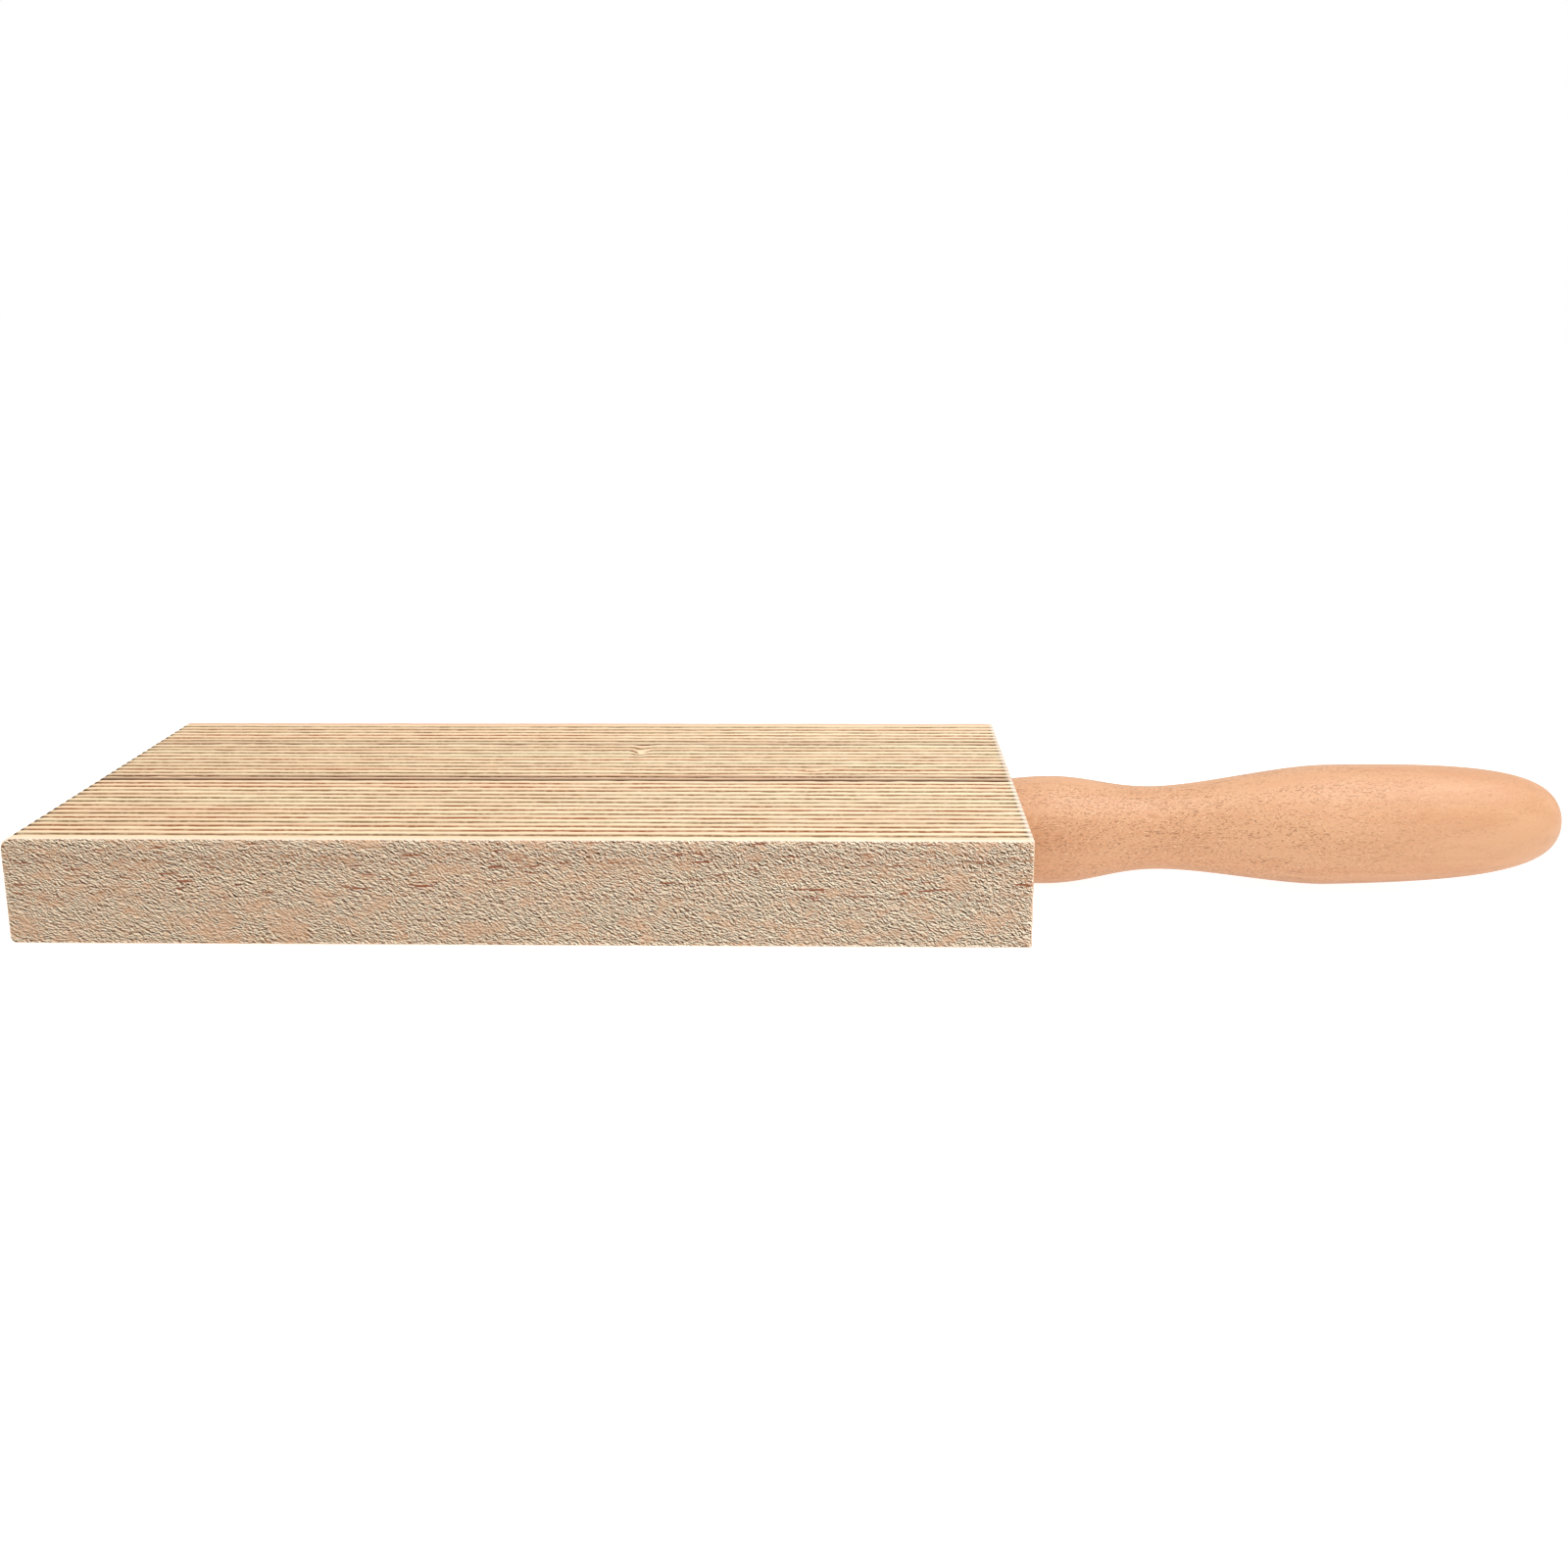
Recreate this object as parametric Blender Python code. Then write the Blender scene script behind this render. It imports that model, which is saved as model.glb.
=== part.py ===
"""Ridged paddle board: a flat wooden board with 32 straight grooves in its top face, and a turned handle.

The handle's tenon is glued into a bore in one end of the board, so nothing moves.
Metres, +Z up. The origin is the centre of the board's flat underside, and the handle points along +X.
"""

import math

import bmesh
import bpy
from mathutils import Vector
from mathutils.geometry import interpolate_bezier

MM = 0.001

# Board
BOARD_LENGTH = 130 * MM
BOARD_THICKNESS = 14 * MM
GROOVE_COUNT = 32
GROOVE_PITCH = 2 * MM
GROOVE_DEPTH = 0.8 * MM
GROOVE_MOUTH = 1.2 * MM
GROOVE_FLOOR = 0.2 * MM
SIDE_MARGIN = 2.5 * MM
BOARD_WIDTH = (GROOVE_COUNT - 1) * GROOVE_PITCH + 2 * SIDE_MARGIN

# Edge roundings. The tip, which leads in use, is sanded rounder than the rest.
TIP_TOP_ROUND = 1.6 * MM
TIP_BOTTOM_ROUND = 0.8 * MM
EDGE_ROUND = 0.25 * MM
ROUND_SEGMENTS = 4
# Edges whose faces meet at more than this angle get the small rounding.
SHARP_ANGLE = math.radians(60)

# Handle: its axis leaves the board's end low and rises a little towards the nose.
HANDLE_AXIS_HEIGHT = 5.9 * MM
HANDLE_RISE = math.radians(1.3)
HANDLE_LENGTH = 77.1 * MM
SHOULDER_RADIUS = 7.4 * MM
COLLAR_RADIUS = 7.65 * MM
NECK_RADIUS = 5.9 * MM
BELLY_RADIUS = 8.45 * MM
COLLAR_AT = 5 * MM
NECK_AT = 20.3 * MM
BELLY_AT = 44.6 * MM

# How far each curve of the handle's outline runs level before it turns, as a share of the curve's length.
SHOULDER_PULL = 0.4
COLLAR_PULL = 0.4
FLANK_PULL = 0.29
NOSE_PULL = 0.8
# How far the nose's curve runs square to the axis, as a share of the belly's radius.
NOSE_BLUNTNESS = 0.73
TURNED_SEGMENTS = 48
POINTS_PER_CURVE = 12

# Tenon and bore
TENON_RADIUS = 4 * MM
TENON_LENGTH = 20 * MM
TENON_CHAMFER = 0.8 * MM
GLUE_GAP = 0.3 * MM

# Cutters run this far past the board.
CUTTER_REACH = 2 * MM
# The bar that joins the groove cutter's teeth clears the board's top by this much.
BAR_CLEARANCE = 0.2 * MM
# Points closer than this become one where the handle's outline meets its axis.
MERGE_DISTANCE = 0.01 * MM

BOARD_COLOUR = (0.80, 0.58, 0.37)
HANDLE_COLOUR = (0.80, 0.45, 0.25)
SANDED_ROUGHNESS = 0.62
SAWN_ROUGHNESS = 0.8


def clear_scene():
    for obj in list(bpy.data.objects):
        bpy.data.objects.remove(obj, do_unlink=True)


def wood(name, colour, roughness):
    material = bpy.data.materials.new(name)
    material.use_nodes = True
    shader = material.node_tree.nodes["Principled BSDF"]
    shader.inputs["Base Color"].default_value = (*colour, 1)
    shader.inputs["Roughness"].default_value = roughness
    shader.inputs["Metallic"].default_value = 0
    return material


def add_object(name, mesh, material=None):
    obj = bpy.data.objects.new(name, mesh)
    bpy.context.scene.collection.objects.link(obj)
    if material:
        mesh.materials.append(material)
    return obj


def as_cutter(obj):
    obj.hide_render = True
    obj.display_type = "WIRE"
    return obj


def subtract(obj, cutter):
    cut = obj.modifiers.new(cutter.name, "BOOLEAN")
    cut.operation = "DIFFERENCE"
    cut.solver = "EXACT"
    cut.object = cutter


def round_tip(bm):
    """Rounds the tip's two crosswise edges, right out to the long sides."""
    for radius, height in ((TIP_BOTTOM_ROUND, 0), (TIP_TOP_ROUND, BOARD_THICKNESS)):
        corners = [
            vert for vert in bm.verts if vert.co.x < 0 and abs(vert.co.z - height) < MERGE_DISTANCE
        ]
        across = [edge for edge in bm.edges if all(vert in corners for vert in edge.verts)]
        bmesh.ops.bevel(
            bm, geom=across, offset=radius, segments=ROUND_SEGMENTS, profile=0.5, affect="EDGES"
        )


def board_blank(material):
    """The planed board before it is grooved, its underside on Z = 0, with rounded edges."""
    bm = bmesh.new()
    bmesh.ops.create_cube(bm, size=1)
    bmesh.ops.scale(bm, vec=(BOARD_LENGTH, BOARD_WIDTH, BOARD_THICKNESS), verts=bm.verts)
    bmesh.ops.translate(bm, vec=(0, 0, BOARD_THICKNESS / 2), verts=bm.verts)
    round_tip(bm)
    mesh = bpy.data.meshes.new("grooved_board")
    bm.to_mesh(mesh)
    bm.free()
    board = add_object("grooved_board", mesh, material)
    rounding = board.modifiers.new("edge_rounding", "BEVEL")
    rounding.limit_method = "ANGLE"
    rounding.angle_limit = SHARP_ANGLE
    rounding.width = EDGE_ROUND
    rounding.segments = ROUND_SEGMENTS
    return board


def groove_outline():
    """One comb-shaped outline in Y and Z: a bar above the board with a tooth for each groove."""
    # The tooth keeps its slope as it widens up to the bar.
    flare = (GROOVE_MOUTH - GROOVE_FLOOR) / 2 / GROOVE_DEPTH
    half_at_bar = GROOVE_MOUTH / 2 + flare * BAR_CLEARANCE
    bar_low = BOARD_THICKNESS + BAR_CLEARANCE
    bar_high = BOARD_THICKNESS + CUTTER_REACH
    half_comb = BOARD_WIDTH / 2 + CUTTER_REACH
    outline = [(-half_comb, bar_high), (-half_comb, bar_low)]
    for number in range(GROOVE_COUNT):
        centre = (number - (GROOVE_COUNT - 1) / 2) * GROOVE_PITCH
        outline += [
            (centre - half_at_bar, bar_low),
            (centre - GROOVE_FLOOR / 2, BOARD_THICKNESS - GROOVE_DEPTH),
            (centre + GROOVE_FLOOR / 2, BOARD_THICKNESS - GROOVE_DEPTH),
            (centre + half_at_bar, bar_low),
        ]
    return outline + [(half_comb, bar_low), (half_comb, bar_high)]


def groove_cutter():
    """The comb outline drawn out along the whole board."""
    half_length = BOARD_LENGTH / 2 + CUTTER_REACH
    bm = bmesh.new()
    corners = [bm.verts.new((-half_length, y, z)) for y, z in groove_outline()]
    end = bm.faces.new(corners)
    drawn = bmesh.ops.extrude_face_region(bm, geom=[end])
    moved = [item for item in drawn["geom"] if isinstance(item, bmesh.types.BMVert)]
    bmesh.ops.translate(bm, vec=(2 * half_length, 0, 0), verts=moved)
    bmesh.ops.recalc_face_normals(bm, faces=bm.faces)
    mesh = bpy.data.meshes.new("groove_cutter")
    bm.to_mesh(mesh)
    bm.free()
    return as_cutter(add_object("groove_cutter", mesh))


def handle_axis():
    """An empty where the handle's axis crosses the board's end, its +Z along the handle."""
    axis = bpy.data.objects.new("handle_axis", None)
    bpy.context.scene.collection.objects.link(axis)
    axis.location = (BOARD_LENGTH / 2, 0, HANDLE_AXIS_HEIGHT)
    axis.rotation_euler = (0, math.pi / 2 - HANDLE_RISE, 0)
    return axis


def bore_cutter(axis):
    """The drilled hole, a glue gap wider and deeper than the tenon, running out of the board's end."""
    depth = TENON_LENGTH + GLUE_GAP
    bm = bmesh.new()
    bmesh.ops.create_cone(
        bm,
        cap_ends=True,
        segments=TURNED_SEGMENTS,
        radius1=TENON_RADIUS + GLUE_GAP,
        radius2=TENON_RADIUS + GLUE_GAP,
        depth=depth + CUTTER_REACH,
    )
    bmesh.ops.translate(bm, vec=(0, 0, (CUTTER_REACH - depth) / 2), verts=bm.verts)
    mesh = bpy.data.meshes.new("bore_cutter")
    bm.to_mesh(mesh)
    bm.free()
    cutter = as_cutter(add_object("bore_cutter", mesh))
    cutter.parent = axis
    return cutter


def level_curve(start, end, pull):
    """A curve between two (radius, distance) points that runs parallel to the axis at both of them."""
    run = (end.y - start.y) * pull
    start_handle = start + Vector((0, run))
    end_handle = end - Vector((0, run))
    return interpolate_bezier(start, start_handle, end_handle, end, POINTS_PER_CURVE)


def nose_curve(nose, belly):
    """The rounded end: square to the axis at the nose, and parallel to it at the belly."""
    nose_handle = nose + Vector((belly.x * NOSE_BLUNTNESS, 0))
    belly_handle = belly + Vector((0, (nose.y - belly.y) * NOSE_PULL))
    return interpolate_bezier(nose, nose_handle, belly_handle, belly, POINTS_PER_CURVE)


def shoulder_curve(collar, shoulder):
    """From the widest part of the collar in to its edge against the board."""
    collar_handle = collar + Vector((0, (shoulder.y - collar.y) * SHOULDER_PULL))
    return interpolate_bezier(collar, collar_handle, shoulder, shoulder, POINTS_PER_CURVE)


def handle_profile():
    """Points (radius, distance from the board's end), from the nose down to the tenon's inner end."""
    nose = Vector((0, HANDLE_LENGTH))
    belly = Vector((BELLY_RADIUS, BELLY_AT))
    neck = Vector((NECK_RADIUS, NECK_AT))
    collar = Vector((COLLAR_RADIUS, COLLAR_AT))
    shoulder = Vector((SHOULDER_RADIUS, GLUE_GAP))
    points = nose_curve(nose, belly)
    points += level_curve(belly, neck, FLANK_PULL)[1:]
    points += level_curve(neck, collar, COLLAR_PULL)[1:]
    points += shoulder_curve(collar, shoulder)[1:]
    points += [
        Vector((TENON_RADIUS, GLUE_GAP)),
        Vector((TENON_RADIUS, TENON_CHAMFER - TENON_LENGTH)),
        Vector((TENON_RADIUS - TENON_CHAMFER, -TENON_LENGTH)),
        Vector((0, -TENON_LENGTH)),
    ]
    return points


def turned_handle(axis, material):
    profile = handle_profile()
    mesh = bpy.data.meshes.new("turned_handle")
    edges = [(number, number + 1) for number in range(len(profile) - 1)]
    mesh.from_pydata([(point.x, 0, point.y) for point in profile], edges, [])
    handle = add_object("turned_handle", mesh, material)
    handle.parent = axis
    turning = handle.modifiers.new("turning", "SCREW")
    turning.steps = TURNED_SEGMENTS
    turning.render_steps = TURNED_SEGMENTS
    turning.use_merge_vertices = True
    turning.merge_threshold = MERGE_DISTANCE
    turning.use_smooth_shade = True
    return handle


def main():
    clear_scene()
    board = board_blank(wood("board_wood", BOARD_COLOUR, SAWN_ROUGHNESS))
    subtract(board, groove_cutter())
    axis = handle_axis()
    subtract(board, bore_cutter(axis))
    turned_handle(axis, wood("handle_wood", HANDLE_COLOUR, SANDED_ROUGHNESS))


main()
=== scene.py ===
"""The finished look of a ridged paddle board: a grooved softwood board with a turned hardwood handle.

Everything is in metres in the frame's own axes: +X towards the handle, +Y across the grooves, +Z up.
"""

import math

import bpy
from bpy.props import FloatProperty, FloatVectorProperty, IntProperty, PointerProperty
from mathutils import Matrix, Vector, noise
from mathutils.geometry import interpolate_bezier


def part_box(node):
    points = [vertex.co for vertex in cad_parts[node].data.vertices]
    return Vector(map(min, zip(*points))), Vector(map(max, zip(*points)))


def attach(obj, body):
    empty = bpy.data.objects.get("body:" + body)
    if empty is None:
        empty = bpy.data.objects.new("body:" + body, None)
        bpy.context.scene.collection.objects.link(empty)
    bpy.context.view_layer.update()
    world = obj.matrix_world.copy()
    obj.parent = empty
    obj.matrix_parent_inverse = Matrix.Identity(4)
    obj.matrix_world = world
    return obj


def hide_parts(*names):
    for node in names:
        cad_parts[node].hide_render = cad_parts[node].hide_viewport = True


bl_info = {
    "name": "Ridged paddle board",
    "version": (1, 0, 0),
    "blender": (4, 5, 0),
    "location": "3D View > Sidebar > Paddle board",
    "description": "Models a grooved wooden board with a turned handle on a pale studio floor",
    "category": "Add Mesh",
}

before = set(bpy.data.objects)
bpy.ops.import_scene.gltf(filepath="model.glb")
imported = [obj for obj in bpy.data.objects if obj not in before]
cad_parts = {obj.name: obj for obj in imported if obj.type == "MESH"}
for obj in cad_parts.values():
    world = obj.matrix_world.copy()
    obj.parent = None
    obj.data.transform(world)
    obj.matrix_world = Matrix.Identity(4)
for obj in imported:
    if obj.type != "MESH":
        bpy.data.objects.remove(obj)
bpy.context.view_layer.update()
BOARD_LOW, BOARD_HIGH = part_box("grooved_board")

MM = 0.001
PER_METRE = 1000


# Sizes and colours that a user would change


class BoardSettings(bpy.types.PropertyGroup):
    """Sizes and colours of the grooved board."""

    groove_count: IntProperty(name="Grooves", description="Grooves across the board", default=32, min=2)
    side_margin: FloatProperty(
        name="Side margin",
        description="From the middle of the outermost groove to the long side",
        default=2.5 * MM,
        unit="LENGTH",
    )
    groove_depth: FloatProperty(
        name="Groove depth", description="Depth of each groove", default=0.8 * MM, unit="LENGTH"
    )
    tip_top_round: FloatProperty(
        name="Tip rounding, top",
        description="Radius of the tip's upper edge",
        default=1.6 * MM,
        unit="LENGTH",
    )
    tip_bottom_round: FloatProperty(
        name="Tip rounding, bottom",
        description="Radius of the tip's lower edge",
        default=0.8 * MM,
        unit="LENGTH",
    )
    edge_round: FloatProperty(
        name="Edge rounding",
        description="Radius of all the other edges",
        default=0.25 * MM,
        unit="LENGTH",
    )
    flare_length: FloatProperty(
        name="Flare length",
        description="How far from the tip the grooves widen",
        default=1.8 * MM,
        unit="LENGTH",
    )
    flare_depth: FloatProperty(
        name="Flare depth",
        description="How much deeper the grooves are at the tip",
        default=1.1 * MM,
        unit="LENGTH",
    )
    wander: FloatProperty(
        name="Groove wander",
        description="How far a groove strays sideways",
        default=0.16 * MM,
        unit="LENGTH",
    )
    unevenness: FloatProperty(
        name="Unevenness",
        description="How far the grooved face rises and falls",
        default=0.12 * MM,
        unit="LENGTH",
    )
    crest_colour: FloatVectorProperty(
        name="Crests",
        description="Pale wood between the grooves",
        default=(0.93, 0.77, 0.52),
        subtype="COLOR",
    )
    crest_tint: FloatVectorProperty(
        name="Crests, pinker",
        description="Pinker streaks along the crests",
        default=(0.92, 0.67, 0.45),
        subtype="COLOR",
    )
    # The grooves' colours stand for darker wood and also for painted shade in the recesses.
    groove_colour: FloatVectorProperty(
        name="Grooves",
        description="Darker wood down in the grooves",
        default=(0.36, 0.13, 0.05),
        subtype="COLOR",
    )
    groove_tint: FloatVectorProperty(
        name="Grooves, greener",
        description="Wood in the duller grooves",
        default=(0.27, 0.16, 0.07),
        subtype="COLOR",
    )
    latewood_colour: FloatVectorProperty(
        name="Latewood",
        description="Dark part of each growth ring",
        default=(0.52, 0.24, 0.10),
        subtype="COLOR",
    )
    sawn_colour: FloatVectorProperty(
        name="Sawn sides",
        description="Rough-sawn long sides",
        default=(0.73, 0.43, 0.255),
        subtype="COLOR",
    )
    sawn_tint: FloatVectorProperty(
        name="Sawn sides, duller",
        description="Duller patches on the sawn sides",
        default=(0.71, 0.465, 0.29),
        subtype="COLOR",
    )
    end_colour: FloatVectorProperty(
        name="End grain",
        description="Wood cut across the fibres",
        default=(0.56, 0.36, 0.20),
        subtype="COLOR",
    )


class HandleSettings(bpy.types.PropertyGroup):
    """Sizes and colours of the turned handle."""

    axis_height: FloatProperty(
        name="Axis height",
        description="Height of the handle's axis above the board's underside, at the board's end",
        default=5.9 * MM,
        unit="LENGTH",
    )
    rise: FloatProperty(
        name="Rise",
        description="Angle at which the handle rises",
        default=math.radians(1.3),
        unit="ROTATION",
    )
    length: FloatProperty(
        name="Length",
        description="From the board's end to the nose",
        default=77.1 * MM,
        unit="LENGTH",
    )
    belly_radius: FloatProperty(
        name="Belly radius",
        description="Radius at the thickest place",
        default=8.45 * MM,
        unit="LENGTH",
    )
    neck_radius: FloatProperty(
        name="Neck radius",
        description="Radius at the thinnest place",
        default=5.9 * MM,
        unit="LENGTH",
    )
    collar_radius: FloatProperty(
        name="Collar radius",
        description="Largest radius near the board",
        default=7.65 * MM,
        unit="LENGTH",
    )
    shoulder_radius: FloatProperty(
        name="Shoulder radius",
        description="Radius against the board",
        default=7.4 * MM,
        unit="LENGTH",
    )
    tenon_radius: FloatProperty(
        name="Tenon radius", description="Radius of the round tenon", default=4 * MM, unit="LENGTH"
    )
    tenon_length: FloatProperty(
        name="Tenon length", description="How deep the tenon goes", default=20 * MM, unit="LENGTH"
    )
    colour: FloatVectorProperty(
        name="Wood", description="Sanded handle wood", default=(0.685, 0.365, 0.19), subtype="COLOR"
    )
    figure_colour: FloatVectorProperty(
        name="Figure",
        description="Darker figure in the handle",
        default=(0.63, 0.315, 0.155),
        subtype="COLOR",
    )
    pore_colour: FloatVectorProperty(
        name="Pores",
        description="Open pores of the handle",
        default=(0.36, 0.16, 0.07),
        subtype="COLOR",
    )


class StageSettings(bpy.types.PropertyGroup):
    """The floor, the lights and the camera."""

    camera_place: FloatVectorProperty(
        name="Camera",
        description="Where the camera stands",
        default=(0.04086, -0.25176, 0.07755),
        unit="LENGTH",
    )
    camera_pitch: FloatProperty(
        name="Pitch",
        description="How far the camera looks down",
        default=math.radians(14.457),
        unit="ROTATION",
    )
    camera_heading: FloatProperty(
        name="Heading",
        description="Turn of the camera from +Y",
        default=math.radians(1.812),
        unit="ROTATION",
    )
    camera_roll: FloatProperty(
        name="Roll",
        description="Tilt of the camera's horizon",
        default=math.radians(-0.327),
        unit="ROTATION",
    )
    lens: FloatProperty(name="Lens", description="Focal length in millimetres", default=42.03)
    floor_colour: FloatVectorProperty(
        name="Floor", description="Colour of the floor", default=(0.50, 0.50, 0.50), subtype="COLOR"
    )
    floor_glow: FloatProperty(
        name="Floor glow",
        description="Light that the floor gives off, which fills the shadows",
        default=0.60,
    )
    floor_brightness: FloatProperty(
        name="Floor brightness", description="How bright the floor itself looks", default=0.85
    )
    sky_light: FloatProperty(name="Room light", description="Strength of the even light", default=0.76)
    key_power: FloatProperty(
        name="Key light", description="Power of the lamp overhead", default=3.6, unit="POWER"
    )
    fill_power: FloatProperty(
        name="Fill light", description="Power of the lamp in front", default=0.7, unit="POWER"
    )


# Modelling helpers


def stop_editing():
    bpy.ops.object.mode_set(mode="OBJECT")


def deselect_everything():
    bpy.ops.object.select_all(action="DESELECT")


def make_active(obj):
    deselect_everything()
    obj.select_set(True)
    bpy.context.view_layer.objects.active = obj


def named(name):
    """Names the object that an operator has just added."""
    obj = bpy.context.active_object
    obj.name = name
    obj.data.name = name
    return obj


def select_parts(obj, kind, chosen):
    """Selects the vertices, edges or polygons that chosen(item, mesh) picks, and stays in edit mode."""
    mesh = obj.data
    bpy.ops.object.mode_set(mode="EDIT")
    bpy.ops.mesh.select_mode(type={"vertices": "VERT", "edges": "EDGE", "polygons": "FACE"}[kind])
    bpy.ops.mesh.select_all(action="DESELECT")
    bpy.ops.object.mode_set(mode="OBJECT")
    for item in getattr(mesh, kind):
        item.select = chosen(item, mesh)
    bpy.ops.object.mode_set(mode="EDIT")


def edge_middle(edge, mesh):
    first, second = edge.vertices
    return (mesh.vertices[first].co + mesh.vertices[second].co) / 2


def apply_modifier(obj, modifier):
    make_active(obj)
    bpy.ops.object.modifier_apply(modifier=modifier.name)


def combine(obj, tool, operation):
    """Cuts obj with the closed shape tool, or keeps only what lies within it, and removes the tool."""
    modifier = obj.modifiers.new("combine", "BOOLEAN")
    modifier.operation = operation
    modifier.solver = "EXACT"
    modifier.object = tool
    apply_modifier(obj, modifier)
    bpy.data.objects.remove(tool, do_unlink=True)


def bake_place(obj):
    """Moves the object's place and size into its mesh."""
    make_active(obj)
    bpy.ops.object.transform_apply(location=True, rotation=True, scale=True)


def finish_piece(obj, node):
    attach(obj, "root")
    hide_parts(node)


# The grooved board

# A groove's outline from its middle to the middle of the next crest: the distance from the groove's
# middle as a share of half the pitch, and the depth as a share of the groove's depth.
GROOVE_OUTLINE = ((0.0, 1.0), (0.16, 0.92), (0.43, 0.34), (0.60, 0.06), (1.0, 0.0))
CELLS_PER_PITCH = 2 * (len(GROOVE_OUTLINE) - 1)
CELLS_ALONG = 260
OVERRUN = 2 * MM
BLANK_CLEARANCE = 0.03 * MM
ROUND_SEGMENTS = 5
SHARP_ANGLE = math.radians(60)
MERGE_DISTANCE = 0.01 * MM

# Places where the fibres swirl and pull the grooves sideways: x, y, sideways pull, reach along,
# reach across and how far the grooves fill up there.
SWIRLS = (
    (11 * MM, 15 * MM, -1.5 * MM, 1 * MM, 3 * MM, 0.6),
    (37 * MM, 3 * MM, 0.3 * MM, 3 * MM, 3.5 * MM, 0.1),
)

# Drying cracks in the near side, running in from the handle's end. Long and short ones take turns.
CRACK_COUNT = 6
LOWEST_CRACK = 7 * MM
CRACK_SPACING = 1.1 * MM
CRACK_LENGTHS = (2 * MM, 1.5 * MM)
CRACK_WIDTHS = (0.25 * MM, 0.15 * MM)
CRACK_DEPTH = 0.8 * MM
CRACK_OVERRUN = 0.5 * MM
CRACK_TAPER = 0.15

# How long and how wide the grooves' slow and quick unevenness is.
SLOW_WANDER = (14 * MM, 3 * MM)
QUICK_WANDER = (2.2 * MM, 0.9 * MM)
SLOW_SHARE = 0.6

# A point further from a groove's middle, as a share of half the pitch, or deeper, as a share of the
# groove's depth, isn't in the groove.
GROOVE_REACH = 0.75
GROOVE_DEPTH_LIMIT = 1.3

JOIN_DISTANCE = 0.005 * MM
SMOOTH_ANGLE = math.radians(40)
BORE_SEGMENTS = 48
BORE_GAP = 0.3 * MM


def groove_pitch(settings):
    width = BOARD_HIGH.y - BOARD_LOW.y
    return (width - 2 * settings.side_margin) / (settings.groove_count - 1)


def add_groove_strip(settings):
    """One groove with half a crest on each side, as a sheet at the height of the grooved face."""
    pitch = groove_pitch(settings)
    length = BOARD_HIGH.x - BOARD_LOW.x + 2 * OVERRUN
    first_groove = BOARD_LOW.y + settings.side_margin
    deselect_everything()
    bpy.ops.mesh.primitive_grid_add(
        x_subdivisions=CELLS_ALONG,
        y_subdivisions=CELLS_PER_PITCH,
        size=1,
        location=((BOARD_LOW.x + BOARD_HIGH.x) / 2, first_groove, BOARD_HIGH.z),
    )
    strip = named("ridged_board")
    bpy.ops.transform.resize(value=(length, pitch, 1))
    bake_place(strip)
    cell = pitch / CELLS_PER_PITCH
    for step, (share, depth) in enumerate(GROOVE_OUTLINE):
        for side in (-1, 1):
            row = first_groove + side * step * cell
            place = first_groove + side * share * pitch / 2
            select_parts(strip, "vertices", lambda vertex, mesh: abs(vertex.co.y - row) < cell / 4)
            if step or side == 1:
                move = (0, place - row, -depth * settings.groove_depth)
                bpy.ops.transform.translate(value=move)
            stop_editing()
    return strip


def repeat_grooves(strip, settings):
    repeat = strip.modifiers.new("grooves", "ARRAY")
    repeat.count = settings.groove_count
    repeat.use_relative_offset = False
    repeat.use_constant_offset = True
    repeat.constant_offset_displace = (0, groove_pitch(settings), 0)
    repeat.use_merge_vertices = True
    repeat.merge_threshold = JOIN_DISTANCE
    apply_modifier(strip, repeat)


def extend_sides(sheet, settings):
    """Draws the sheet out sideways past both long sides of the board."""
    low = min(vertex.co.y for vertex in sheet.data.vertices)
    high = max(vertex.co.y for vertex in sheet.data.vertices)
    reach = settings.side_margin + OVERRUN
    for edge_at, way in ((low, -1), (high, 1)):
        select_parts(
            sheet, "edges", lambda edge, mesh: abs(edge_middle(edge, mesh).y - edge_at) < MERGE_DISTANCE
        )
        bpy.ops.mesh.extrude_region_move(TRANSFORM_OT_translate={"value": (0, way * reach, 0)})
        stop_editing()


def roughen(sheet, settings):
    """Lets the grooves stray a little, and the face rise and fall by less than a hair's breadth."""
    top = BOARD_HIGH.z
    pitch = groove_pitch(settings)
    first_groove = BOARD_LOW.y + settings.side_margin
    last_groove = BOARD_HIGH.y - settings.side_margin
    for vertex in sheet.data.vertices:
        place = vertex.co.copy()
        along = Vector((place.x / SLOW_WANDER[0], place.y / SLOW_WANDER[1], 0))
        short = Vector((place.x / QUICK_WANDER[0], place.y / QUICK_WANDER[1], 7))
        vertex.co.y += settings.wander * noise.noise(along)
        lift = noise.noise(short) + SLOW_SHARE * noise.noise(along + Vector((0, 0, 3)))
        height = place.z + settings.unevenness * (lift - SLOW_SHARE) / 2
        if first_groove - pitch / 2 < place.y < last_groove + pitch / 2:
            from_groove = abs((place.y - first_groove + pitch / 2) % pitch - pitch / 2) / (pitch / 2)
            from_flare = BOARD_LOW.x + settings.flare_length - place.x
            flare = min(max(from_flare / settings.flare_length, 0), 1)
            height -= settings.flare_depth * flare**2 * (1 - from_groove) * (1 + noise.noise(short))
        for x, y, pull, reach_along, reach_across, fill in SWIRLS:
            spread = ((place.x - x) / reach_along) ** 2 + ((place.y - y) / reach_across) ** 2
            nearness = math.exp(-spread)
            vertex.co.y += pull * nearness
            height += (top - height) * fill * nearness
            height -= settings.unevenness * nearness * (1 + 2 * lift)
        vertex.co.z = min(top, height)


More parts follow.
